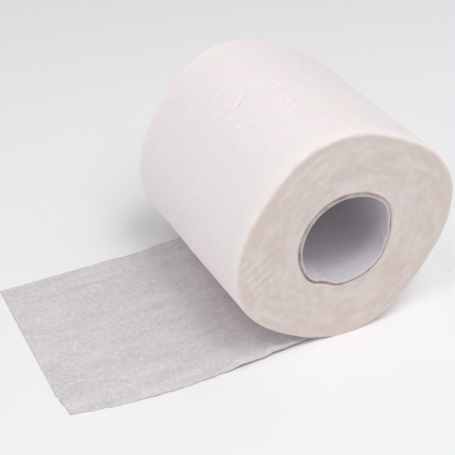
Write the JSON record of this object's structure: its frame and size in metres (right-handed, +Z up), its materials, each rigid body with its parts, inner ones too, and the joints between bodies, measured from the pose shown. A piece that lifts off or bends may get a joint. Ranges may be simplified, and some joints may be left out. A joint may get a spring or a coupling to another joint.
{
  "type": "toilet paper roll",
  "caption": "Soft roll of white two-ply tissue web wound on a paperboard core tube, resting on its side with its loose end laid out flat.",
  "frame": {"origin": "on the floor under the roll's axis, at the middle of the small flat spot that the roll rests on", "axes": "+Z up, Y along the roll's axis with the squashed core end towards -Y, and the loose end laid out towards -X"},
  "size_m": [0.1807, 0.0992, 0.104],
  "materials": {
    "tissue": "matt creped tissue, slightly translucent where one layer lies alone",
    "core_board": "matt grey-brown paperboard edge with a white inner lining"
  },
  "bodies": {
    "root": {"tissue_roll": "tissue", "core_tube": "core_board"}
  },
  "joints": []
}
